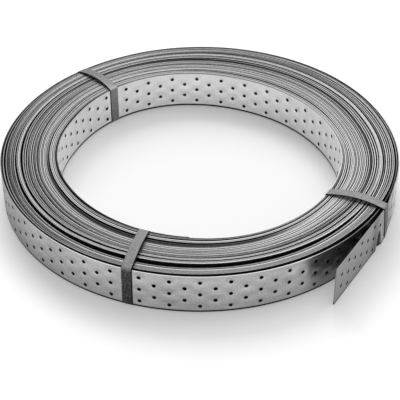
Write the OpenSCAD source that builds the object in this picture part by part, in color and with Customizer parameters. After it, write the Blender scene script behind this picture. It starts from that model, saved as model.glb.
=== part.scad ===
// Coil of perforated steel strap, tied with three steel bands.
// The frame's origin is on the coil's axis at the level it stands on, +Z points up the bore,
// and +X is square to the loose end. Sizes are in millimetres, and angles in degrees.

/* [Strap] */
// Width of the strap, which is the coil's height
strap_w = 60; // [30:5:120]
// Thickness of the strap
strap_t = 1.5; // [1:0.25:3]

/* [Perforation] */
// Diameter of the nail holes
hole_d = 5; // [3:0.5:7]
// Distance along the strap from one column of holes to the next
column_pitch = 20; // [12:1:40]
// Distance across the strap between the holes of one column
row_pitch = 20; // [12:1:40]
// Least distance from a hole's centre to the strap's edge
hole_margin = 9; // [6:1:14]

/* [Coil] */
// Radius of the bore, to the innermost turn
bore_r = 200; // [150:5:300]
// Number of turns
turns = 32; // [10:1:40]
// Gap between one turn and the next
turn_gap = 1.2; // [0.3:0.1:2]
// Extra width of the loose gaps between groups of turns
loose_gap = 2.25; // [0:0.25:4]
// Depth to which the gaps show on both ends
gap_depth = 2; // [1:0.5:10]
// Angle at which the inner end of the strap lies
inner_end_angle = -43; // [-60:1:-30]

/* [Loose end] */
// Clear gap between the coil and the loose end where they are nearest, on the +X axis
end_gap = 2; // [1:0.5:12]
// Length of the loose end, from the +X axis to its cut
end_length = 143.5; // [60:0.5:200]
// Distance from the +X axis back to the bend that sets the loose end straight
bend_back = 15; // [10:1:25]
// Angle at which the outer turn lifts off the coil, before that bend
lift_angle = 10; // [7:0.5:14]
// Distance from a cut end to its first column of holes
cut_margin = 17.5; // [10:0.5:19]

/* [Binding bands] */
// Width of a binding band
band_w = 15; // [9:1:25]
// Thickness of a binding band
band_t = 0.6; // [0.4:0.1:1.2]
// Height by which a band bows up over the coil, half way across it
band_rise = 4; // [1:0.5:5]
// Angle of the front band, from the one over the loose end
front_angle = -77; // [-110:1:-40]
// Angle of the rear band, from the one over the loose end
rear_angle = 163; // [120:1:200]

/* [Hidden] */
$fn = 180;
over = 0.5; // how far a cutter runs past the face it opens
strap_colour = "#9b9da0";
band_colour = "#6c6e70";

// The coil stands on the undersides of its bands
strap_low = band_t;
strap_high = strap_low + strap_w;

// Radius of each turn, counted from the bore, with a loose gap after these turns
loose_after = [4, 21, 26, 31];
function loose_total(turn) = loose_gap * len([for (k = loose_after) if (k < turn) k]);
function turn_in(turn) = bore_r + (turn - 1) * (strap_t + turn_gap) + loose_total(turn);
function turn_out(turn) = turn_in(turn) + strap_t;
coil_r = turn_out(turns);

// The loose end's inner and outer face, and the run from the coil out to its bend
end_in = coil_r + end_gap;
end_out = end_in + strap_t;
bend = [end_out, bend_back];
lift = coil_r * [cos(lift_angle), sin(lift_angle)];
lift_run = norm(bend - lift);

// Outer face of the strap at a distance from its outer cut: first the loose end,
// then the run back to the coil, and then round the outer turn
bend_at = end_length + bend_back;
lift_at = bend_at + lift_run;
function turn_angle(run) = lift_angle + (run - lift_at) / coil_r * 180 / PI;
function face_angle(run) =
    run < bend_at ? 0 : run < lift_at ? atan2(bend.x - lift.x, lift.y - bend.y) : turn_angle(run);
function face_point(run) =
    run < bend_at ? [end_out, run - end_length] :
    run < lift_at ? bend + (run - bend_at) / lift_run * (lift - bend) :
    coil_r * [cos(turn_angle(run)), sin(turn_angle(run))];

// Columns of holes: every other one is full, and those between have one hole fewer
full_rows = floor((strap_w - 2 * hole_margin) / row_pitch) + 1;
function rows(column) = full_rows - column % 2;
function row_height(column, row) = strap_low + strap_w / 2 + (row - (rows(column) - 1) / 2) * row_pitch;
outer_columns = floor((lift_at - cut_margin + (2 * PI - lift_angle * PI / 180) * coil_r) / column_pitch);
inner_columns = floor((2 * PI * bore_r - 2 * cut_margin) / column_pitch) + 1;

// Cutters for one column of holes in a wall square to +X, from x = near to x = far
module hole_column(column, near, far) {
    for (row = [0 : rows(column) - 1])
        translate([near, 0, row_height(column, row)])
            rotate([0, 90, 0]) cylinder(h = far - near, d = hole_d, $fn = 24);
}

// Holes from the outer cut to the end of the outer turn: right through where the strap is free,
// and one thickness deep where more turns lie behind it
module outer_holes() {
    for (column = [0 : outer_columns - 1]) {
        run = cut_margin + column * column_pitch;
        depth = run < lift_at ? strap_t + over : strap_t;
        translate(face_point(run)) rotate([0, 0, face_angle(run)])
            hole_column(column + 1, -depth, over);
    }
}

// Holes round the innermost turn, from the strap's inner end
module inner_holes() {
    for (column = [0 : inner_columns - 1]) {
        run = cut_margin + column * column_pitch;
        rotate([0, 0, inner_end_angle + run / bore_r * 180 / PI])
            hole_column(column, bore_r - over, bore_r + strap_t);
    }
}

// Half section of the turned coil, with a notch between each two turns on both ends
module coil_section() {
    low_notches = [for (turn = [1 : turns - 1]) each
        [[turn_out(turn), strap_low], [turn_out(turn), strap_low + gap_depth],
         [turn_in(turn + 1), strap_low + gap_depth], [turn_in(turn + 1), strap_low]]];
    high_notches = [for (turn = [turns - 1 : -1 : 1]) each
        [[turn_in(turn + 1), strap_high], [turn_in(turn + 1), strap_high - gap_depth],
         [turn_out(turn), strap_high - gap_depth], [turn_out(turn), strap_high]]];
    polygon(concat([[bore_r, strap_low]], low_notches, [[coil_r, strap_low]],
                   [[coil_r, strap_high]], high_notches, [[bore_r, strap_high]]));
}

// Plan of the free strap: it lifts off the outer turn, bends, and runs straight to its cut
module end_plan() {
    polygon([lift * (1 - strap_t / coil_r), lift, bend, [end_out, -end_length],
             [end_in, -end_length], [end_in, bend_back]]);
}

// The strap: one turned solid for its wound turns, and the loose end that leaves the outer one
module strap_coil() {
    color(strap_colour) difference() {
        union() {
            rotate_extrude() coil_section();
            translate([0, 0, strap_low]) linear_extrude(strap_w) end_plan();
        }
        outer_holes();
        inner_holes();
    }
}

// The space inside a band: the coil's section from the bore out to x = reach, topped by the low arch
// of the band's bow and grown by a margin.
// Its outside is round like the coil, or flat where the loose end lies over the coil.
module banded_space(reach, flat, margin) {
    half_span = (reach - bore_r) / 2;
    bow_r = (half_span * half_span + band_rise * band_rise) / (2 * band_rise);
    difference() {
        intersection() {
            translate([0, -band_w / 2, strap_low - margin])
                cube([reach + margin, band_w, strap_w + band_rise + 2 * margin]);
            translate([bore_r + half_span, 0, strap_high + band_rise - bow_r])
                rotate([90, 0, 0]) cylinder(h = 2 * band_w, r = bow_r + margin, center = true, $fn = 720);
            if (!flat) cylinder(h = 3 * strap_w, r = reach + margin, center = true);
        }
        cylinder(h = 3 * strap_w, r = bore_r - margin, center = true);
    }
}

// A binding band: a flat steel strip drawn tight round the coil's section
module band(angle, reach, flat) {
    color(band_colour) rotate([0, 0, angle]) difference() {
        banded_space(reach, flat, band_t);
        banded_space(reach, flat, 0);
    }
}

module band_loose_end() band(0, end_out, true);
module band_front() band(front_angle, coil_r, false);
module band_rear() band(rear_angle, coil_r, false);

strap_coil();
band_loose_end();
band_front();
band_rear();
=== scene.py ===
import math

import bmesh
import bpy
import numpy as np
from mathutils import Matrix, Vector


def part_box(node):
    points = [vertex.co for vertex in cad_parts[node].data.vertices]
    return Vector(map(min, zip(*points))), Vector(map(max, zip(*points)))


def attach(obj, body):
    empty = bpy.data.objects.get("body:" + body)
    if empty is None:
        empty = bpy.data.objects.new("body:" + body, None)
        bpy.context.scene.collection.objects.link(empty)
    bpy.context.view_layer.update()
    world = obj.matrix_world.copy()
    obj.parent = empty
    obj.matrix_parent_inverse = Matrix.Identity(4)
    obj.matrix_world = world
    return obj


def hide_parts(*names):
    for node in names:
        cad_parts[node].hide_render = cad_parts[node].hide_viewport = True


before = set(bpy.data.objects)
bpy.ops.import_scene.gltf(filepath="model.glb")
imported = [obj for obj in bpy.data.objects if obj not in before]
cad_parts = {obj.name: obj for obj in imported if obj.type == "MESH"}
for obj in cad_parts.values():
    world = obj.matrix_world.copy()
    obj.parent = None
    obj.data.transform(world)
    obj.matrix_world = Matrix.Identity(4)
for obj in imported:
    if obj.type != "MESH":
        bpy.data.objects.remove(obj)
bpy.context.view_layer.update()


# ---------------------------------------------------------------------------
# The strap: one strip of zinc-coated sheet steel, slit from a wider sheet, punched with nail
# holes all along and wound into a coil. Its turns lie in loose groups, a little out of round,
# and its last stretch springs off the coil, is creased once and runs straight to a square cut.
# ---------------------------------------------------------------------------

# All sizes are in millimetres, and all angles in degrees from +X, seen from above
low, high = (np.array(corner) * 1000 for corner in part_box("strap_coil"))
strap_bottom = low[2]
strap_wide = high[2] - low[2]
strap_thick = 1.5
half_thick = strap_thick / 2
edge_round = 0.3           # rounding that the slitting knives leave along both edges
turns = 32
inner_end_angle = -62.0    # where the strap starts, on the bore
lift_angle = 10.0          # where the outer turn leaves the coil
bend_y = 15.0              # the bend that sets the loose end straight
cut_y = -143.5             # the cut at the loose end
loose_inset = 1.1          # how far inside the frame's box its flat run lies, with room for the
                           # crease's swells
loose_x = high[0] - loose_inset - half_thick  # centre line of the flat run
crease_y = -6.0            # the valley of the crease across it
crease_deep = 2.6          # depth of the valley at the strap's lower edge
crease_top = 16.0          # how far above the strap's middle the valley starts
crease_narrow = 3.0        # half width of the valley from the strap's middle up
crease_widens = 4.5        # how much that grows from the middle down to the lower edge
hole_radius = 2.5
rolled_over = 0.4          # how far the punch drew the sheet in round each hole, and half as deep
column_levels = ([10, 30, 50], [20, 40])  # heights of the holes in a full column and in one between
column_pitch = 20.0
first_column = 17.5        # from the outer cut to the first column of holes
inner_first_column = 18.7  # from the inner cut to the first column of holes
outer_pierced = 1.16       # turns that show their holes on the outside
inner_pierced = 1.04       # and in the bore


def smooth_line(share, values):
    """A smooth line through values at equal steps: a cubic from each to the next, whose slope at
    every one is that between its two neighbours."""
    values = np.asarray(values, float)
    slope = np.gradient(values)
    x = np.clip(share, 0, 1) * (len(values) - 1)
    k = np.minimum(x.astype(int), len(values) - 2)
    t = x - k
    return (values[k] * (1 + 2 * t) * (1 - t) ** 2 + slope[k] * t * (1 - t) ** 2
            + values[k + 1] * t * t * (3 - 2 * t) - slope[k + 1] * t * t * (1 - t))


# Both rims sag and bulge a little. Each is given at every 18 degrees, clockwise from the strap's
# inner end: the bore's face along the first turn, and the outer face along the last one, which
# beyond step 16 is where the outer turn would lie if it didn't leave the coil.
bore_rim = [209.4, 208.7, 206.9, 206.8, 208.6, 207.8, 205.3, 207.8, 210.0, 208.6, 204.0,
            199.8, 199.0, 199.9, 203.5, 209.0, 210.7, 212.4, 214.3, 214.9, 212.3]
outer_rim = [291.7, 291.7, 291.7, 291.5, 291.3, 290.8, 289.5, 289.0, 289.4, 291.5, 293.3,
             294.0, 294.0, 293.2, 292.6, 293.0, 292.7, 292.8, 293.7, 293.9, 293.8]
# How much looser the outer turns lie than the inner ones, at every 36 degrees from the same place
outer_looser = [-1.2, -0.2, 0.7, -0.6, -0.3, 0.2, 0.3, 0.4, 0.4, -0.1, -1.2]


def way_round(angle):
    """Share of a turn from the strap's inner end to an angle, clockwise."""
    return (inner_end_angle - np.asarray(angle)) / 360 % 1


def ease(x):
    """Goes smoothly from 0 to 1 as x does: 3x^2 - 2x^3."""
    x = np.clip(x, 0, 1)
    return x * x * (3 - 2 * x)


dice = np.random.default_rng(11)  # the one seeded source of every random draw


def wander(place, knots_per_turn):
    """A random line through one draw per knot, eased from each knot to the next."""
    draws = dice.normal(size=int(turns * knots_per_turn) + 3)
    x = place * knots_per_turn
    knot = np.floor(x).astype(int)
    return draws[knot] + (draws[knot + 1] - draws[knot]) * ease(x - knot)


def open_gap(place, *knots):
    """Width of a gap that opens between two turns, or another amount that comes and goes along the
    strap, from knots of (place, width), with places counted in turns: it eases from each knot to
    the next, and is nothing beyond the first and the last."""
    at, width = np.array(knots).T
    k = np.clip(np.searchsorted(at, place) - 1, 0, len(at) - 2)
    inside = (place > at[0]) & (place < at[-1])
    part = (place - at[k]) / (at[k + 1] - at[k])
    return inside * (width[k] + (width[k + 1] - width[k]) * ease(part))


def wind_strap(samples=720):
    """Centre line of the wound strap, from its inner end outward.

    A place is counted in turns from the inner end, and the strap runs clockwise. At each angle
    the turns fill the room between the two rims: each is one thickness, the open gaps have their
    own width, and what is left is shared between all gaps by random weights. The gap at a place
    is the one between that turn and the next. Returns the place and the radius of each point."""
    part = np.arange(samples) / samples
    place = part[None, :] + np.arange(turns)[:, None]
    # the outer turns are the looser ones where outer_looser is positive, and else the inner ones
    lean = smooth_line(part, outer_looser) * (place / turns - 0.5)
    # the gaps differ by a quick and a slow random line
    weight = np.exp(
        0.40 * wander(place, 4) + 0.35 * wander(place, 1.3) + lean
        # a narrow group of three turns is bound tight, and so are one gap nearer the bore and the
        # innermost turns at the back and on the right
        - open_gap(place, (20.6, 0), (20.8, 1.0), (23.1, 1.0), (23.2, 0))
        - open_gap(place, (18.54, 0), (18.63, 0.9), (18.80, 0.9), (18.90, 0))
        - sum(open_gap(place, (k + 0.35, 0), (k + 0.47, 1.1), (k + 0.70, 1.1), (k + 0.78, 0))
              for k in range(5))
    )
    opened = (
        # inside the outer turn, widest in front
        open_gap(place, (29.66, 0), (29.70, 1.3), (29.79, 1.5), (29.83, 3.6), (29.87, 5.2),
                        (29.99, 5.0), (30.04, 4.4), (30.08, 3.4), (30.13, 2.2), (30.17, 1.6),
                        (30.26, 1.2), (30.45, 0))
        + open_gap(place, (30.50, 0), (30.58, 0.9), (30.66, 0.9), (30.70, 0))
        # between the two main groups
        + open_gap(place, (22.76, 0), (22.79, 0.8), (22.825, 2.2), (22.865, 4.4), (22.907, 6.6),
                          (22.95, 7.8), (23.03, 8.2), (23.075, 7.0), (23.115, 4.8), (23.157, 3.4),
                          (23.20, 1.6), (23.24, 0.5), (23.30, 0))
        # on the bore's side of the narrow group, and between turns nearer the bore
        + open_gap(place, (19.78, 0), (19.825, 1.0), (19.865, 1.7), (20.00, 1.6), (20.03, 2.0),
                          (20.075, 2.8), (20.115, 2.6), (20.157, 1.8), (20.20, 0.9), (20.30, 0))
        + open_gap(place, (17.05, 0), (17.115, 1.1), (17.157, 1.6), (17.20, 0.9), (17.24, 0.2),
                          (17.33, 0.2), (17.40, 0.7), (17.45, 1.1), (17.49, 2.0), (17.54, 2.0),
                          (17.615, 1.2), (17.66, 1.0), (17.70, 0.6), (17.74, 0.3), (17.79, 0.3),
                          (17.865, 1.5), (17.907, 1.5), (17.95, 1.0), (18.01, 0))
        + open_gap(place, (13.79, 0), (13.83, 0.7), (13.865, 1.0), (13.91, 0.6), (14.00, 0.4),
                          (14.04, 0.6), (14.075, 1.0), (14.115, 1.3), (14.157, 1.2), (14.20, 0.5),
                          (14.24, 0))
        + open_gap(place, (15.80, 0), (15.83, 0.8), (15.87, 1.0), (15.91, 0.4), (15.95, 0))
        # loose turns just outside the inner group, in front
        + open_gap(place, (4.83, 0), (4.90, 0.4), (4.95, 0.9), (5.03, 1.1), (5.08, 1.4),
                          (5.157, 1.1), (5.26, 0))
        + open_gap(place, (5.90, 0), (5.95, 0.5), (6.03, 0.7), (6.08, 0.8), (6.12, 0))
        + open_gap(place, (7.08, 0), (7.12, 1.0), (7.17, 1.0), (7.22, 0))
        # outside the inner group, nearly all the way round
        + open_gap(place, (3.78, 0), (3.825, 0.5), (3.865, 1.4), (3.907, 1.8), (3.95, 2.3),
                          (4.03, 2.7), (4.075, 2.9), (4.115, 2.3), (4.157, 1.8), (4.20, 1.3),
                          (4.25, 0.7), (4.40, 0.2), (4.46, 0.6), (4.49, 1.6), (4.53, 2.6),
                          (4.60, 2.8), (4.66, 2.2), (4.70, 1.0), (4.74, 0))
        # within the inner group
        + open_gap(place, (1.77, 0), (1.825, 1.1), (1.865, 1.2), (1.907, 1.6), (1.99, 1.9),
                          (2.03, 1.6), (2.075, 1.5), (2.12, 1.2), (2.157, 0.8), (2.25, 0.4),
                          (2.35, 0))
        + open_gap(place, (-0.01, 0.8), (0.06, 0.9), (0.10, 2.2), (0.13, 2.6), (0.17, 2.1),
                          (0.21, 1.2), (0.26, 0.6), (0.40, 0))
        # single lines at the back and on the right
        + open_gap(place, (20.49, 0), (20.54, 0.5), (20.70, 0.6), (20.75, 0))
        + open_gap(place, (27.56, 0), (27.62, 0.5), (27.68, 0.6), (27.73, 0))
        + open_gap(place, (26.50, 0), (26.55, 0.5), (26.69, 0.5), (26.73, 0))
        + open_gap(place, (12.54, 0), (12.58, 0.5), (12.66, 0.5), (12.70, 0))
        + open_gap(place, (10.50, 0), (10.54, 0.5), (10.58, 0.8), (10.70, 0.5), (10.74, 0))
        + open_gap(place, (6.54, 0), (6.60, 0.5), (6.70, 0.5), (6.74, 0))
    )
    first = smooth_line(part, bore_rim) + half_thick
    last = smooth_line(part, outer_rim) - half_thick
    # the share of the room for a weight of 1, where the strap starts
    room = last[0] - first[0] - (turns - 1) * strap_thick - opened[:-1, 0].sum()
    share = room / weight[:-1, 0].sum()
    # over the last 0.15 of a turn each rim moves, to end exactly one turn further out than it began
    for rim, given, gap in ((first, bore_rim, 0), (last, outer_rim, -1)):
        rim += ease((part - 0.85) / 0.15) * (strap_thick + opened[gap, 0] + share * weight[gap, 0]
                                             - (given[-1] - given[0]))
    room = last - first - (turns - 1) * strap_thick - opened[:-1].sum(0)
    gap = opened[:-1] + room / weight[:-1].sum(0) * weight[:-1]
    radius = first + np.concatenate([np.zeros((1, samples)), np.cumsum(strap_thick + gap, 0)])
    # towards its cut, over 0.035 of a turn, the inner end closes 0.85 of the gap to the next turn
    radius[0] += 0.85 * gap[0] * ease(1 - part / 0.035)
    return place.ravel(), radius.ravel()


def soft_max(a, b, blend):
    """The larger of two curves, rounded over about that many millimetres where they cross."""
    return blend * np.logaddexp(a / blend, b / blend)


def strap_path(steps_per_turn=2400):
    """Centre line of the whole strap from its outer cut inward, at steps of under a millimetre.

    The wound part is the coil's. At the lift angle it leaves the coil on a straight run to the
    bend, and from there lies on a plane square to +X. Both are straight lines in polar form,
    distance / cos(angle to the line's normal). Returns the length run, the place in turns, and
    x and y."""
    wound_place, wound_radius = wind_strap()
    end_place = turns - 1 + way_round(math.degrees(math.atan2(cut_y, loose_x)))
    place = np.linspace(end_place, 0, int(end_place * steps_per_turn) + 1)
    angle = inner_end_angle - 360 * place
    radius = np.interp(place, wound_place, wound_radius)
    # the angle from -180 to 180: the loose end's goes from -26 at its cut to the lift angle, and
    # the path is rounded over from a few degrees before that
    end_angle = (angle + 180) % 360 - 180
    leaves = (place > turns - 0.5) & (end_angle < lift_angle + 5.6)
    lift_radius = np.interp(turns - 1 + way_round(lift_angle), wound_place, wound_radius)
    lift_turn = math.radians(lift_angle)
    lift = lift_radius * np.array([math.cos(lift_turn), math.sin(lift_turn)])
    run = np.array([loose_x, bend_y]) - lift
    normal_angle = math.degrees(math.atan2(-run[0], run[1])) % 180
    normal = math.radians(normal_angle)
    distance = lift[0] * math.cos(normal) + lift[1] * math.sin(normal)
    lift_run = distance / np.cos(np.radians(end_angle - normal_angle))
    straight = loose_x / np.cos(np.radians(end_angle))
    # it follows the coil until the lift run is further out, and that run until the flat one is
    # nearer the axis
    off_coil = -soft_max(-soft_max(radius, lift_run, blend=0.3), -straight, blend=0.8)
    radius = np.where(leaves, off_coil, radius)
    x, y = radius * np.cos(np.radians(angle)), radius * np.sin(np.radians(angle))
    length = np.concatenate([[0], np.cumsum(np.hypot(np.diff(x), np.diff(y)))])
    return length, place, x, y


path_length, path_place, path_x, path_y = strap_path()
strap_length = path_length[-1]
tangent_x, tangent_y = np.gradient(path_x, path_length), np.gradient(path_y, path_length)


# The strap laid flat: along from the outer cut, out from its middle plane, and up from its lower
# edge. Each panel set is an array of polygons, counter-clockwise from outside.
face_levels = np.array([edge_round, 10, 20, 30, 40, 50, strap_wide - edge_round])
top_edge = np.array([[half_thick, strap_wide - edge_round], [half_thick - edge_round, strap_wide],
                     [edge_round - half_thick, strap_wide], [-half_thick, strap_wide - edge_round]])
bottom_edge = np.array([[-half_thick, edge_round], [edge_round - half_thick, 0],
                        [half_thick - edge_round, 0], [half_thick, edge_round]])
OUTER_FACE, INNER_FACE, SLIT_EDGE, HOLE_WALL, BETWEEN_TURNS = range(5)


def swept(stations, profile):
    """Quads of a profile of (out, up) points, carried from each station along to the next."""
    a, b = stations[:-1, None], stations[1:, None]
    p, q = profile[None, :-1], profile[None, 1:]
    def at(along, point):
        along = np.broadcast_to(along, (len(a), len(profile) - 1))[..., None]
        return np.concatenate([along, np.broadcast_to(point, along.shape[:2] + (2,))], -1)
    return np.stack([at(a, p), at(b, p), at(b, q), at(a, q)], 2).reshape(-1, 4, 3)


def face_profile(levels, side):
    """Points up the outer face, or down the inner one, at those levels."""
    levels = levels if side > 0 else levels[::-1]
    return np.stack([np.full(len(levels), side * half_thick), levels], 1)


def plain_strap(stations, levels):
    """Panels of strap with no holes between those stations."""
    return [(swept(stations, face_profile(levels, 1)), OUTER_FACE),
            (swept(stations, top_edge), SLIT_EDGE),
            (swept(stations, face_profile(levels, -1)), INNER_FACE),
            (swept(stations, bottom_edge), SLIT_EDGE)]


def pierced_square(bottom, middle, top):
    """Triangles between a hole of 12 sides and the square round it, and the hole's rolled-over rim
    and its wall's outline, as (along, up), counter-clockwise."""
    turn = np.radians(np.arange(12) * 30)
    centre = column_pitch / 2
    outline, rim = (np.stack([centre + r * np.cos(turn), middle + r * np.sin(turn)], 1)
                    for r in (hole_radius, hole_radius + rolled_over))
    end = column_pitch
    square = np.array([[end, middle], [end, top], [centre, top], [0, top], [0, middle], [0, bottom],
                       [centre, bottom], [end, bottom]])
    triangles = []
    for quarter in range(4):
        s0, s1, s2 = square[2 * quarter], square[2 * quarter + 1], square[(2 * quarter + 2) % 8]
        r0, r1, r2, r3 = (rim[(3 * quarter + k) % 12] for k in range(4))
        triangles += [(r0, s0, r1), (r1, s0, s1), (r1, s1, r2), (r2, s1, s2), (r2, s2, r3)]
    return np.array(triangles), rim, outline


def pierced_column(hole_rows):
    """Panels of one column of the strap, one column pitch long, with holes at those levels."""
    stations = np.array([0, column_pitch / 2, column_pitch])
    panels = [(swept(stations, top_edge), SLIT_EDGE), (swept(stations, bottom_edge), SLIT_EDGE)]
    for row in hole_rows:
        middle = np.searchsorted(face_levels, row - 0.5)
        triangles, rim, outline = pierced_square(*face_levels[middle - 1:middle + 2])
        for side, finish in ((1, OUTER_FACE), (-1, INNER_FACE)):
            out = np.full(triangles.shape[:2] + (1,), side * half_thick)
            face = np.concatenate([triangles[..., :1], out, triangles[..., 1:]], -1)
            panels.append((face[:, ::side], finish))
        # from the outer rim in, through the hole, and out to the inner rim
        depth = half_thick - rolled_over / 2
        rings = [np.insert(ring, 1, out, axis=1) for ring, out in (
            (rim, half_thick), (outline, depth), (outline, -depth), (rim, -half_thick))]
        for near, far in zip(rings, rings[1:]):
            wall = np.stack([near, np.roll(near, -1, 0), np.roll(far, -1, 0), far], 1)
            panels.append((wall, HOLE_WALL))
    if len(hole_rows) == 2:
        for levels in (face_levels[:2], face_levels[-2:]):
            panels.append((swept(stations, face_profile(levels, 1)), OUTER_FACE))
            panels.append((swept(stations, face_profile(levels, -1)), INNER_FACE))
    return panels


def pierced_strap(start, columns, first_full):
    """Panels of a run of columns, full ones of three holes and ones of two by turns."""
    panels = []
    for kind, hole_rows in enumerate(column_levels):
        number = np.arange(columns)
        number = number[(number - first_full) % 2 == kind]
        shift = np.zeros((len(number), 1, 1, 3))
        shift[..., 0] = (start + column_pitch * number)[:, None, None]
        for shape, finish in pierced_column(hole_rows):
            panels.append(((shape[None] + shift).reshape(-1, shape.shape[1], 3), finish))
    return panels


def join_levels(pierced_end, plain_end):
    """Panels from the pierced strap, whose faces have seven levels, to the plain one, with two."""
    count, middle = len(face_levels), len(face_levels) // 2
    few = face_levels[[0, -1]]
    stations = np.array([pierced_end, plain_end])
    flip = 1 if plain_end > pierced_end else -1
    panels = [(swept(stations, edge)[:, ::flip], SLIT_EDGE) for edge in (top_edge, bottom_edge)]
    for side, finish in ((1, OUTER_FACE), (-1, INNER_FACE)):
        out = side * half_thick
        near = np.stack([np.full(count, pierced_end), np.full(count, out), face_levels], 1)
        far = np.stack([np.full(2, plain_end), np.full(2, out), few], 1)
        fan = [(near[k], far[0 if k < middle else 1], near[k + 1]) for k in range(count - 1)]
        fan.append((near[middle], far[0], far[1]))
        panels.append((np.array(fan)[:, ::side * flip], finish))
    return panels


def end_cap(along, faces_back):
    """The cut across the strap, one polygon with every level of both faces."""
    loop = np.concatenate([face_profile(face_levels, 1), top_edge[1:-1],
                           face_profile(face_levels, -1), bottom_edge[1:-1]])
    cap = np.insert(loop, 0, along, axis=1)
    return (cap[::-1 if faces_back else 1][None], SLIT_EDGE)


def flat_strap(plain_steps=144, clear=4):
    """All panels of the strap, and their finish: pierced where its holes show, plain between.
    plain_steps is the number of plain panels round a turn, and clear the least run from a pierced
    stretch to the first of them."""
    lead = first_column - column_pitch / 2
    tail = strap_length - (inner_first_column - column_pitch / 2)
    outer_run = np.interp(-(path_place[0] - outer_pierced), -path_place, path_length)
    outer_columns = int((outer_run - lead) / column_pitch)
    inner_run = strap_length - np.interp(-inner_pierced, -path_place, path_length)
    inner_columns = int(inner_run / column_pitch)
    outer_end = lead + outer_columns * column_pitch
    inner_start = tail - inner_columns * column_pitch
    # plain stations at whole steps of angle, so that neighbouring turns have their corners abreast
    steps = np.arange(0, turns, 1 / plain_steps)
    stations = np.sort(np.interp(-steps, -path_place, path_length))
    stations = stations[(stations > outer_end + clear) & (stations < inner_start - clear)]
    return (
        [end_cap(0, True)]
        + plain_strap(np.array([0, lead]), face_levels)
        + pierced_strap(lead, outer_columns, 1)
        + join_levels(outer_end, stations[0])
        + plain_strap(stations, face_levels[[0, -1]])
        + join_levels(inner_start, stations[-1])
        + pierced_strap(inner_start, inner_columns, inner_columns % 2)
        + plain_strap(np.array([tail, strap_length]), face_levels)
        + [end_cap(strap_length, False)]
    )


def weld(panels):
    """Merges corners that lie in one place. Returns the corners, and each panel set's numbers of
    corners."""
    corners = np.concatenate([shape.reshape(-1, 3) for shape, _ in panels])
    corners, number = np.unique(corners.round(6), axis=0, return_inverse=True)
    splits = np.cumsum([shape.shape[0] * shape.shape[1] for shape, _ in panels])[:-1]
    groups = zip(np.split(number.ravel(), splits), panels)
    return corners, [group.reshape(shape.shape[:2]) for group, (shape, _) in groups]


def finer(corners, faces, finishes, first, last, cuts):
    """Cuts every edge between two places along the flat strap, and fills the faces between."""
    mesh = bpy.data.meshes.new("flat_strap")
    mesh.from_pydata(corners.tolist(), [], faces)
    mesh.polygons.foreach_set("material_index", finishes)
    build = bmesh.new()
    build.from_mesh(mesh)
    edges = [edge for edge in build.edges
             if all(first < corner.co.x < last for corner in edge.verts)]
    bmesh.ops.subdivide_edges(build, edges=edges, cuts=cuts, use_grid_fill=True)
    build.to_mesh(mesh)
    build.free()
    corners = np.zeros(len(mesh.vertices) * 3)
    mesh.vertices.foreach_get("co", corners)
    finishes = np.zeros(len(mesh.polygons), np.int32)
    mesh.polygons.foreach_get("material_index", finishes)
    faces = [list(face.vertices) for face in mesh.polygons]
    bpy.data.meshes.remove(mesh)
    return corners.reshape(-1, 3), faces, finishes


def crease_place(along, up):
    """Where a point lies in the loose end's crease: its distance from the valley's line, in shares
    of the valley's half width at that height, and the valley's depth there. The lower edge lies
    30 mm below the strap's middle."""
    height = up - strap_wide / 2
    half_width = crease_narrow + crease_widens * np.clip(-height / 30, 0, 1)
    depth = crease_deep * ease((crease_top - height) / (crease_top + 30))
    return (along + cut_y - crease_y) / half_width, depth


def creased(along, up):
    """How far the crease moves the loose end out: a sharp valley between two low swells, each a
    fifth as high as the valley is deep and 1.4 half widths from its line."""
    beside, depth = crease_place(along, up)
    swell = 0.2 * np.exp(-((np.abs(beside) - 1.4) / 0.35) ** 2)
    return depth * (swell - np.clip(1 - np.abs(beside), 0, 1))


# The strap has settled by up to half a millimetre: a random line with two draws a turn
settle_place = np.linspace(0, turns, 4000)
settle_depth = np.clip(np.abs(wander(settle_place, 2.0)) * 0.22, 0, 0.5)


def wound(flat):
    """Where points of the flat strap lie in the coil: along its centre line, out square to it, and
    up, less the depth by which the strap has settled there."""
    along = flat[:, 0]
    x, y = np.interp(along, path_length, path_x), np.interp(along, path_length, path_y)
    tx, ty = np.interp(along, path_length, tangent_x), np.interp(along, path_length, tangent_y)
    size = np.hypot(tx, ty)
    out = flat[:, 1] + creased(along, flat[:, 2])
    x, y = x + out * ty / size, y - out * tx / size
    place = np.interp(along, path_length, path_place)
    settled = np.interp(place, settle_place, settle_depth)
    return np.stack([x, y, strap_bottom + flat[:, 2] - settled], 1)


def make_mesh(name, corners, faces, finishes, flat=None):
    """A mesh object from corners in millimetres, with smooth faces and edges kept sharp over 35
    degrees. Where the flat corners are given, its map runs along the strap and up it, in metres."""
    mesh = bpy.data.meshes.new(name)
    mesh.from_pydata((corners / 1000).tolist(), [], faces)
    mesh.polygons.foreach_set("material_index", finishes)
    mesh.polygons.foreach_set("use_smooth", np.ones(len(finishes), bool))
    if flat is not None:
        corner_of_loop = np.zeros(len(mesh.loops), np.int32)
        mesh.loops.foreach_get("vertex_index", corner_of_loop)
        layer = mesh.uv_layers.new(name="along_strap")
        along_and_up = flat[corner_of_loop][:, [0, 2]] / 1000
        layer.data.foreach_set("uv", along_and_up.astype(np.float32).ravel())
    mesh.set_sharp_from_angle(angle=math.radians(35))
    piece = bpy.data.objects.new(name, mesh)
    bpy.context.scene.collection.objects.link(piece)
    return piece


panels = flat_strap()
flat_corners, numbers = weld(panels)
faces = [face for group in numbers for face in group.tolist()]
finishes = np.concatenate([np.full(len(group), finish)
                           for group, (_, finish) in zip(numbers, panels)])
# the stretch with the crease has smaller faces
flat_corners, faces, finishes = finer(flat_corners, faces, finishes, first=125, last=150, cuts=4)
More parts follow.
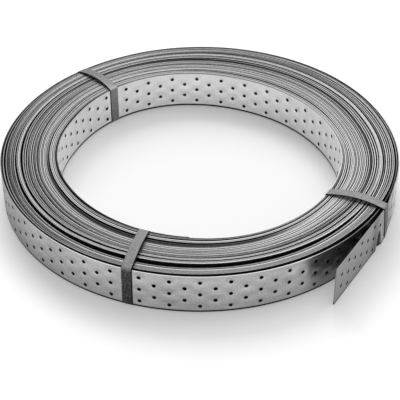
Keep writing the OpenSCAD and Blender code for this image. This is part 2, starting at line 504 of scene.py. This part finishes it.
# the faces that lie against another turn, so all but about the last turn's outside and the first
# one's inside, are painted dark as painted shade between the turns
face_place = np.interp([flat_corners[face[0], 0] for face in faces], path_length, path_place)
covered_outside = (finishes == OUTER_FACE) & (face_place < path_place[0] - 1.1)
covered_inside = (finishes == INNER_FACE) & (face_place > 1.0)
finishes[covered_outside | covered_inside] = BETWEEN_TURNS
strap = make_mesh("perforated_strap", wound(flat_corners), faces, finishes, flat_corners)


def linear(code):
    """An sRGB hex colour as linear RGBA."""
    value = np.array([int(code[k:k + 2], 16) for k in (1, 3, 5)]) / 255
    value = np.where(value <= 0.04045, value / 12.92, ((value + 0.055) / 1.055) ** 2.4)
    return (*value.tolist(), 1.0)


def add_node(tree, kind, inputs=(), **settings):
    """Adds a node with its settings; each input is a value, or another node's output to link."""
    node = tree.nodes.new(kind)
    for name, value in settings.items():
        setattr(node, name, value)
    for name, value in dict(inputs).items():
        if isinstance(value, bpy.types.NodeSocket):
            tree.links.new(value, node.inputs[name])
        else:
            node.inputs[name].default_value = value
    return node


def bare_tree(owner):
    """The node tree of a new material or world, with nothing in it yet."""
    owner.use_nodes = True
    owner.node_tree.nodes.clear()
    return owner.node_tree


def point_values(piece, name, values):
    """Stores one number for each corner of a piece, for its material to read."""
    layer = piece.data.attributes.new(name, "FLOAT", "POINT")
    layer.data.foreach_set("value", np.asarray(values, np.float32))


# How bright each turn's slit edge is, from dull to bright: every stretch differs a little at
# random, the turns beside the open gaps get a painted highlight, and some turns in and just
# outside the inner group get painted shade
corner_place = np.interp(flat_corners[:, 0], path_length, path_place)
edge_tone_and_light = (
    0.5 + 0.24 * wander(corner_place, 1.7) + 0.14 * wander(corner_place, 5)
    + open_gap(corner_place, (22.8, 0), (22.9, 0.3), (23.0, 0.3), (23.1, 0))
    + open_gap(corner_place, (30.8, 0), (30.9, 0.35), (31.9, 0.35), (32.0, 0))
    - open_gap(corner_place, (4.85, 0), (4.95, 0.9), (5.15, 0.9), (5.3, 0))
    - open_gap(corner_place, (5.85, 0), (5.95, 0.7), (6.10, 0.7), (6.2, 0))
    - open_gap(corner_place, (6.85, 0), (6.95, 0.4), (7.05, 0.4), (7.15, 0))
    - open_gap(corner_place, (0.05, 0), (0.09, 0.9), (0.17, 0.9), (0.22, 0))
)
# Painted light: how much brighter or duller all turns are together, at every 36 degrees from the
# inner end
painted_light_round_coil = [-0.05, -0.05, -0.05, 0.03, 0.05, -0.05, 0.0, 0.18, 0.12, 0, -0.05]
edge_tone_and_light += smooth_line(corner_place % 1, painted_light_round_coil)
point_values(strap, "edge_tone_and_painted_light", np.clip(edge_tone_and_light, 0, 1))

# How dark the zinc is painted: painted shade on the left of the outer turn, painted shade and a
# painted reflection of the loose end behind it, and the loose end itself darker, most before its
# crease, with painted shade in the crease's valley and a painted highlight beside it
painted_shade_and_darkening = (
    open_gap(corner_place, (31.07, 0), (31.12, 0.2), (31.17, 0.55), (31.21, 0.85), (31.45, 0.95),
             (31.60, 0))
    + open_gap(corner_place, (30.70, 0), (30.80, 0.95), (30.86, 0.85), (30.895, 0.55), (30.915, 0))
)
along = flat_corners[:, 0]
beside, depth = crease_place(along, flat_corners[:, 2])
on_loose_end = along < 200
# the loose end is darker all over, most before its crease; the crease's valley gets painted shade,
# and its far flank a painted highlight
painted_shade_and_darkening += on_loose_end * (0.45 + 0.4 * np.exp(-((along - 123) / 10) ** 2)
                         + 1.5 * ease(depth - 0.5) * np.exp(-((beside - 0.1) / 0.8) ** 2)
                         - 0.5 * ease(depth) * np.exp(-((beside - 1.6) / 0.4) ** 2))
point_values(strap, "painted_shade_and_darkening", np.clip(painted_shade_and_darkening, 0, 1.4))


def zinc_coated(name, dark, light, roughness, mottle_share, by_turn=False):
    """Hot-dipped zinc on rolled steel: a soft grey sheen with a fine grain, clouds along the strap
    and faint rolling lines. Patches of painted shade darken it where a corner attribute says, and a
    painted contact shadow darkens the lowest two or three millimetres."""
    material = bpy.data.materials.new(name)
    tree = bare_tree(material)
    place = add_node(tree, "ShaderNodeTexCoord").outputs
    # a grain of 1.5 mm, coarser than zinc's, so that it shows
    grain = add_node(tree, "ShaderNodeTexNoise", {"Vector": place["Object"], "Scale": 1000 / 1.5,
                                                  "Detail": 2.0, "Roughness": 0.7})
    # clouds 60 mm long and 14 mm high, and rolling lines 2 mm apart
    cloud_place = add_node(tree, "ShaderNodeMapping", {
        "Vector": place["UV"], "Scale": (1000 / 60, 1000 / 14, 1.0)})
    cloud = add_node(tree, "ShaderNodeTexNoise", {
        "Vector": cloud_place.outputs[0], "Scale": 1.0, "Detail": 3.0})
    line_place = add_node(tree, "ShaderNodeMapping", {
        "Vector": place["UV"], "Scale": (1000 / 110, 1000 / 2, 1.0)})
    line = add_node(tree, "ShaderNodeTexNoise", {
        "Vector": line_place.outputs[0], "Scale": 1.0, "Detail": 2.0})
    # the three are added in shares that make one
    tone = None
    for source, share in ((grain, 0.9 - mottle_share), (cloud, mottle_share), (line, 0.1)):
        part = add_node(tree, "ShaderNodeMath", {0: source.outputs[0], 1: share},
                        operation="MULTIPLY")
        tone = part if tone is None else add_node(
            tree, "ShaderNodeMath", {0: tone.outputs[0], 1: part.outputs[0]}, operation="ADD")
    if by_turn:
        # each turn's random tone, with a painted highlight or painted shade on some turns and
        # painted light round the coil
        turn = add_node(tree, "ShaderNodeAttribute", attribute_name="edge_tone_and_painted_light")
        tone = add_node(tree, "ShaderNodeMath", {0: tone.outputs[0], 1: turn.outputs["Fac"]},
                        operation="ADD")
        tone = add_node(tree, "ShaderNodeMath", {0: tone.outputs[0], 1: 0.5}, operation="MULTIPLY")
    # noise keeps near its middle, so it is spread out; a colour Mix takes its two colours at
    # inputs 6 and 7, and gives the mix at output 2
    spread = add_node(tree, "ShaderNodeMapRange", {
        "Value": tone.outputs[0], "From Min": 0.32, "From Max": 0.68})
    colour = add_node(tree, "ShaderNodeMix", {
        0: spread.outputs[0], 6: linear(dark), 7: linear(light)}, data_type="RGBA")
    # painted shade and other darkening, read at each corner and broken into patches by the clouds
    painted_shade_and_darkening = add_node(tree, "ShaderNodeAttribute", attribute_name="painted_shade_and_darkening")
    patchy = add_node(tree, "ShaderNodeMapRange", {
        "Value": cloud.outputs[0], "From Min": 0.35, "From Max": 0.6, "To Min": 0.7, "To Max": 1.0})
    painted_shade_and_darkening = add_node(tree, "ShaderNodeMath", {0: painted_shade_and_darkening.outputs["Fac"], 1: patchy.outputs[0]},
                     operation="MULTIPLY", use_clamp=True)
    colour = add_node(tree, "ShaderNodeMix", {
        0: painted_shade_and_darkening.outputs[0], 6: colour.outputs[2], 7: linear("#2f2f2f")}, data_type="RGBA")
    # painted contact shadow: near black below 2.2 mm, gone by 3.4 mm
    height = add_node(tree, "ShaderNodeSeparateXYZ", {0: place["UV"]})
    clear_of_contact_shadow = add_node(tree, "ShaderNodeMapRange", {
        "Value": height.outputs[1], "From Min": 2.2 / 1000, "From Max": 3.4 / 1000})
    colour = add_node(tree, "ShaderNodeMix", {
        0: clear_of_contact_shadow.outputs[0], 6: linear("#101010"), 7: colour.outputs[2]}, data_type="RGBA")
    dull = add_node(tree, "ShaderNodeMapRange", {
        "Value": cloud.outputs[0], "From Min": 0.35, "From Max": 0.65,
        "To Min": roughness + 0.05, "To Max": roughness - 0.05})
    bump = add_node(tree, "ShaderNodeBump", {
        "Height": grain.outputs[0], "Strength": 0.3, "Distance": 0.0003})
    shader = add_node(tree, "ShaderNodeBsdfPrincipled", {
        "Base Color": colour.outputs[2], "Metallic": 1.0, "Roughness": dull.outputs[0],
        "Normal": bump.outputs[0]})
    add_node(tree, "ShaderNodeOutputMaterial", {"Surface": shader.outputs[0]})
    return material


# in the order of OUTER_FACE, INNER_FACE, SLIT_EDGE, HOLE_WALL and BETWEEN_TURNS
for finish in (
    # painted light: the outside is darker and the inside brighter, lit and shaded copies of one
    # zinc
    zinc_coated("zinc_outside_painted_darker", "#979797", "#d7d7d7", 0.40, 0.35),
    zinc_coated("zinc_inside_painted_brighter", "#dadada", "#f3f3f3", 0.45, 0.2),
    zinc_coated("slit_steel_edge", "#4f4f4f", "#d9d9d9", 0.45, 0.3, by_turn=True),
    # painted shade: the hole walls are near black
    zinc_coated("punched_hole_wall_painted_shade", "#0c0c0c", "#1c1c1c", 0.5, 0.2),
    # painted shade: the faces between the turns, seen only down the gaps, are dark
    zinc_coated("zinc_between_turns_painted_shade", "#323232", "#595959", 0.5, 0.3),
):
    strap.data.materials.append(finish)
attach(strap, "root")
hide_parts("strap_coil")


# ---------------------------------------------------------------------------
# The binding bands: three lacquered steel strips, drawn tight round the coil's section and joined
# out of sight under it. Each bows up over the coil, and the one on the right holds the loose end.
# ---------------------------------------------------------------------------

band_wide = 15.0
band_thick = 0.6
corner_round = 1.4         # radius of a band's four corners, at its middle line
band_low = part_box("band_front")[0][2] * 1000 + band_thick / 2
band_high = strap_bottom + strap_wide + band_thick / 2
band_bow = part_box("band_front")[1][2] * 1000 - band_thick / 2 - band_high


def band_loop(inner, outer, drift, sideways, steps=14):
    """Middle line of a band round the coil's section, outward from the axis: a box with rounded
    corners, up the outer wall, over the top, down the bore and back underneath. Its run over the
    top bows up by 4 t (1 - t) of the bow, and sideways by the same rule. drift is how far each
    corner lies to the side, from the lower outer one on. Returns (out, side, up) and the place
    round the loop, counted in corners."""
    corners = np.array([[outer, band_low], [outer, band_high],
                        [inner, band_high], [inner, band_low]])
    centres = corners + corner_round * np.array([[-1, 1], [-1, -1], [1, -1], [1, 1]])
    turn = np.radians(np.arange(7) * 15)
    along_run = np.linspace(0, 1, steps + 2)[1:-1]
    points, place = [], []
    for k, centre in enumerate(centres):
        start = math.radians(-90 + 90 * k)
        arc = centre + corner_round * np.stack([np.cos(start + turn), np.sin(start + turn)], 1)
        goal = centres[(k + 1) % 4] + corner_round * np.array([math.cos(start + math.pi / 2),
                                                               math.sin(start + math.pi / 2)])
        run = arc[-1] + along_run[:, None] * (goal - arc[-1])
        points += [arc, run]
        # a corner takes up 0.04 of the place from one to the next, and the run the rest
        place += [k + 0.02 * np.linspace(-1, 1, len(arc)), k + 0.02 + 0.96 * along_run]
    points, place = np.concatenate(points), np.concatenate(place)
    over = np.clip(place - 1, 0, 1)
    bow = 4 * over * (1 - over)
    side = np.interp(place, np.arange(-1, 5), [drift[3], *drift, drift[0]]) + sideways * bow
    return np.stack([points[:, 0], side, points[:, 1] + band_bow * bow], 1), place


def outer_wall(side, outer):
    """How far out the strap's outer face lies, that far to the side of a band's middle."""
    return np.sqrt(outer ** 2 - side ** 2)


def loose_end_wall(side, outer):
    """The same for the loose end: flat, and turned back to the coil behind its bend."""
    free = path_length < 260   # from the cut to well past where it leaves the coil
    order = np.argsort(path_y[free])
    return np.interp(side, path_y[free][order], path_x[free][order] - loose_x) + outer


def band_sheet(name, angle, loop, place, wall, outer):
    """The band itself: at each point of the loop a cross line of seven points along its width,
    which follows the wall it lies on, thickened both ways by Solidify. Each corner stores its
    place round the band and across it."""
    across = band_wide * np.array([-0.5, -0.46, -0.25, 0, 0.25, 0.46, 0.5])
    out = loop[:, 0][:, None]
    side = loop[:, 1][:, None] + across[None]
    against_bore = np.sqrt(out ** 2 - side ** 2)
    against_wall = wall(side, outer) - outer + out
    share = ((loop[:, 0] - loop[:, 0].min()) / np.ptp(loop[:, 0]))[:, None]
    along = against_bore + ease(share) * (against_wall - against_bore)
    turn = math.radians(angle)
    x = along * math.cos(turn) - side * math.sin(turn)
    y = along * math.sin(turn) + side * math.cos(turn)
    z = np.broadcast_to(loop[:, 2][:, None], x.shape)
    corners = np.stack([x, y, z], -1).reshape(-1, 3)
    rows, columns = x.shape
    i, j = np.meshgrid(np.arange(rows), np.arange(columns - 1), indexing="ij")
    here, after = i * columns + j, (i + 1) % rows * columns + j
    faces = np.stack([here, here + 1, after + 1, after], -1).reshape(-1, 4)
    band = make_mesh(name, corners, faces.tolist(), np.zeros(len(faces), int))
    point_values(band, "round_band", np.repeat(place, columns))
    point_values(band, "across_band", np.tile(across, rows))
    thicken = band.modifiers.new("thickness", "SOLIDIFY")
    thicken.thickness = band_thick / 1000
    thicken.offset = 0
    return band


def lacquered_strapping(name, dark_edge):
    """Steel strapping with a dark lacquer and painted light over it: grey over the top, less so in
    the bore, and still dark on the outer wall. A painted shadow makes a black line along one edge,
    and fine scratches run along the band."""
    material = bpy.data.materials.new(name)
    tree = bare_tree(material)
    place = add_node(tree, "ShaderNodeTexCoord").outputs
    rounds = add_node(tree, "ShaderNodeAttribute", attribute_name="round_band")
    across = add_node(tree, "ShaderNodeAttribute", attribute_name="across_band")
    painted_light_round_band = add_node(tree, "ShaderNodeFloatCurve", {"Value": add_node(
        tree, "ShaderNodeMapRange", {"Value": rounds.outputs["Fac"], "From Max": 4.0}).outputs[0]})
    # how light the band is painted, as painted light and shade, along the outer wall, the top, the
    # bore and the underside
    curve = painted_light_round_band.mapping.curves[0]
    for k, (x, y) in enumerate(((0.0, 0.08), (0.235, 0.08), (0.262, 0.45), (0.49, 0.66),
                                (0.51, 0.5), (0.75, 0.42), (1.0, 0.2))):
        if k < 2:
            curve.points[k].location = (x, y)
        else:
            curve.points.new(x, y)
    for point in curve.points:
        point.handle_type = "VECTOR"
    painted_light_round_band.mapping.update()
    # scratches about 1 mm apart and a third of a side long, and rubbed spots of 2 mm
    scratch_place = add_node(tree, "ShaderNodeCombineXYZ", {
        0: across.outputs["Fac"], 1: rounds.outputs["Fac"]})
    scratch_place = add_node(tree, "ShaderNodeMapping", {
        "Vector": scratch_place.outputs[0], "Scale": (1.0, 3.0, 1.0)})
    scratch = add_node(tree, "ShaderNodeTexNoise", {
        "Vector": scratch_place.outputs[0], "Scale": 1.0, "Detail": 3.0})
    rub = add_node(tree, "ShaderNodeTexNoise", {
        "Vector": place["Object"], "Scale": 1000 / 2.0, "Detail": 2.0})
    marks = add_node(tree, "ShaderNodeMath", {0: scratch.outputs[0], 1: rub.outputs[0]},
                     operation="ADD")
    marks = add_node(tree, "ShaderNodeMapRange", {
        "Value": marks.outputs[0], "From Min": 0.7, "From Max": 1.3, "To Min": -0.2, "To Max": 0.2})
    painted_light_and_marks = add_node(tree, "ShaderNodeMath", {0: painted_light_round_band.outputs[0], 1: marks.outputs[0]},
                    operation="ADD", use_clamp=True)
    colour = add_node(tree, "ShaderNodeMix", {
        0: painted_light_and_marks.outputs[0], 6: linear("#2f2f2f"), 7: linear("#b1b1b1")}, data_type="RGBA")
    # a painted shadow along one edge: it begins 1.8 mm from the edge, and is full from 1.2 mm on
    painted_edge_shadow = add_node(tree, "ShaderNodeMapRange", {
        "Value": across.outputs["Fac"], "From Min": dark_edge * (band_wide / 2 - 1.8),
        "From Max": dark_edge * (band_wide / 2 - 1.2)})
    colour = add_node(tree, "ShaderNodeMix", {
        0: painted_edge_shadow.outputs[0], 6: colour.outputs[2], 7: linear("#0c0c0c")}, data_type="RGBA")
    bump = add_node(tree, "ShaderNodeBump", {
        "Height": marks.outputs[0], "Strength": 0.2, "Distance": 0.0002})
    shader = add_node(tree, "ShaderNodeBsdfPrincipled", {
        "Base Color": colour.outputs[2], "Metallic": 1.0, "Roughness": 0.42,
        "Normal": bump.outputs[0]})
    add_node(tree, "ShaderNodeOutputMaterial", {"Surface": shader.outputs[0]})
    return material


over_loose_end = loose_x + half_thick + band_thick / 2
for node, name, angle, wall, outer, drift, sideways, dark_edge in (
    ("band_front", "binding_band_front", -77.3, outer_wall, None,
     (0.3, 0.8, -5.6, -5), 0, 1),
    ("band_rear", "binding_band_rear", 163, outer_wall, None,
     (1, 0.6, -3.3, -3.3), -3.5, 1),
    ("band_loose_end", "binding_band_loose_end", 0, loose_end_wall, over_loose_end,
     (25, 10, -1, 0), 4, -1),
):
    inner = smooth_line(way_round(angle), bore_rim) - band_thick / 2
    outer = outer or smooth_line(way_round(angle), outer_rim) + band_thick / 2
    loop, place = band_loop(inner, outer, drift, sideways)
    band = band_sheet(name, angle, loop, place, wall, outer)
    lacquer = name.replace("binding_band", "lacquered_strapping")
    band.data.materials.append(lacquered_strapping(lacquer, dark_edge))
    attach(band, "root")
    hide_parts(node)


# ---------------------------------------------------------------------------
# The setting: a plain white floor, soft light from above and behind, and a camera that looks down
# on the coil from between -Y and +X. What is called the front in this script is the camera's side.
# ---------------------------------------------------------------------------

def seen_directly(tree):
    """1 for what the camera and glossy or clear surfaces see, and 0 for what lights the floor."""
    ray = add_node(tree, "ShaderNodeLightPath").outputs
    seen = add_node(tree, "ShaderNodeMath", {0: ray["Is Camera Ray"], 1: ray["Is Glossy Ray"]},
                    operation="MAXIMUM")
    seen = add_node(tree, "ShaderNodeMath", {0: seen.outputs[0], 1: ray["Is Transmission Ray"]},
                    operation="MAXIMUM")
    # a glossy ray that comes by way of the floor is left out, as it would brighten the shade at the
    # foot of the metal
    return add_node(tree, "ShaderNodeMath", {0: seen.outputs[0], 1: ray["Diffuse Depth"]},
                    operation="SUBTRACT", use_clamp=True)


floor_mesh = bpy.data.meshes.new("studio_floor")
reach = 12.0        # from its middle to each side, in metres
floor_up = -0.0003  # just clear of the bands' undersides, in metres
floor_mesh.from_pydata([(-reach, -reach, floor_up), (reach, -reach, floor_up),
                        (reach, reach, floor_up), (-reach, reach, floor_up)], [], [(0, 1, 2, 3)])
floor = bpy.data.objects.new("studio_floor", floor_mesh)
bpy.context.scene.collection.objects.link(floor)
paper = bpy.data.materials.new("white_paper_floor")
tree = bare_tree(paper)
seen = seen_directly(tree)
# the paper's own glow keeps it white further out, and is weaker within half a metre of the
# middle, which darkens the floor round the coil as painted shade
floor_place = add_node(tree, "ShaderNodeTexCoord").outputs["Object"]
far = add_node(tree, "ShaderNodeVectorMath", {0: floor_place}, operation="LENGTH")
glow = add_node(tree, "ShaderNodeMapRange", {
    "Value": far.outputs["Value"], "From Min": 0.2, "From Max": 0.5,
    "To Min": 0.15, "To Max": 0.42})
glow = add_node(tree, "ShaderNodeMath", {0: seen.outputs[0], 1: glow.outputs[0]},
                operation="MULTIPLY")
lit_paper = add_node(tree, "ShaderNodeBsdfDiffuse", {"Color": linear("#e8e8e8")})
white = add_node(tree, "ShaderNodeEmission", {"Strength": glow.outputs[0]})
both = add_node(tree, "ShaderNodeAddShader", {0: lit_paper.outputs[0], 1: white.outputs[0]})
add_node(tree, "ShaderNodeOutputMaterial", {"Surface": both.outputs[0]})
floor_mesh.materials.append(paper)

world = bpy.data.worlds.new("studio")
bpy.context.scene.world = world
tree = bare_tree(world)
seen = seen_directly(tree)
# the sky is white where it is seen, and lights the floor at about half of that
strength = add_node(tree, "ShaderNodeMapRange", {
    "Value": seen.outputs[0], "To Min": 0.47, "To Max": 1.0})
sky = add_node(tree, "ShaderNodeBackground", {
    "Color": (1, 1, 1, 1), "Strength": strength.outputs[0]})
add_node(tree, "ShaderNodeOutputWorld", {"Surface": sky.outputs[0]})

view_azimuth = 31.577  # from -Y round towards +X, to the camera
view_down = 37.5495    # how far the camera looks down
middle_up = 0.03       # half the coil's height, in metres


def around(azimuth, elevation, distance):
    """A point at that distance from the coil's middle; azimuth 0 is on the camera's side."""
    a, e = math.radians(azimuth + view_azimuth), math.radians(elevation)
    return (distance * math.sin(a) * math.cos(e), -distance * math.cos(a) * math.cos(e),
            distance * math.sin(e) + middle_up)


def soft_box(name, azimuth, elevation, distance, size, watts, mirrored=True):
    """A square lamp that faces the coil. One that isn't mirrored lights only the floor, as the
    metal does nothing but mirror."""
    lamp = bpy.data.lights.new(name, "AREA")
    lamp.size = size
    lamp.energy = watts
    holder = bpy.data.objects.new(name, lamp)
    holder.location = around(azimuth, elevation, distance)
    holder.visible_glossy = mirrored
    holder.rotation_euler = (math.radians(90 - elevation), 0, math.radians(azimuth + view_azimuth))
    bpy.context.scene.collection.objects.link(holder)


soft_box("key_soft_box", azimuth=140, elevation=62, distance=6.0, size=3.8, watts=80)
soft_box("rear_soft_box", azimuth=190, elevation=38, distance=6.0, size=3.8, watts=250,
         mirrored=False)

camera_data = bpy.data.cameras.new("camera")
camera_data.lens = 103.313
camera_data.sensor_width = 36
camera = bpy.data.objects.new("camera", camera_data)
camera.location = (0.72988, -1.18524, 1.03083)
camera.rotation_euler = (math.radians(90 - view_down), 0, math.radians(view_azimuth))
bpy.context.scene.collection.objects.link(camera)
bpy.context.scene.camera = camera
bpy.context.scene.view_settings.view_transform = "Standard"
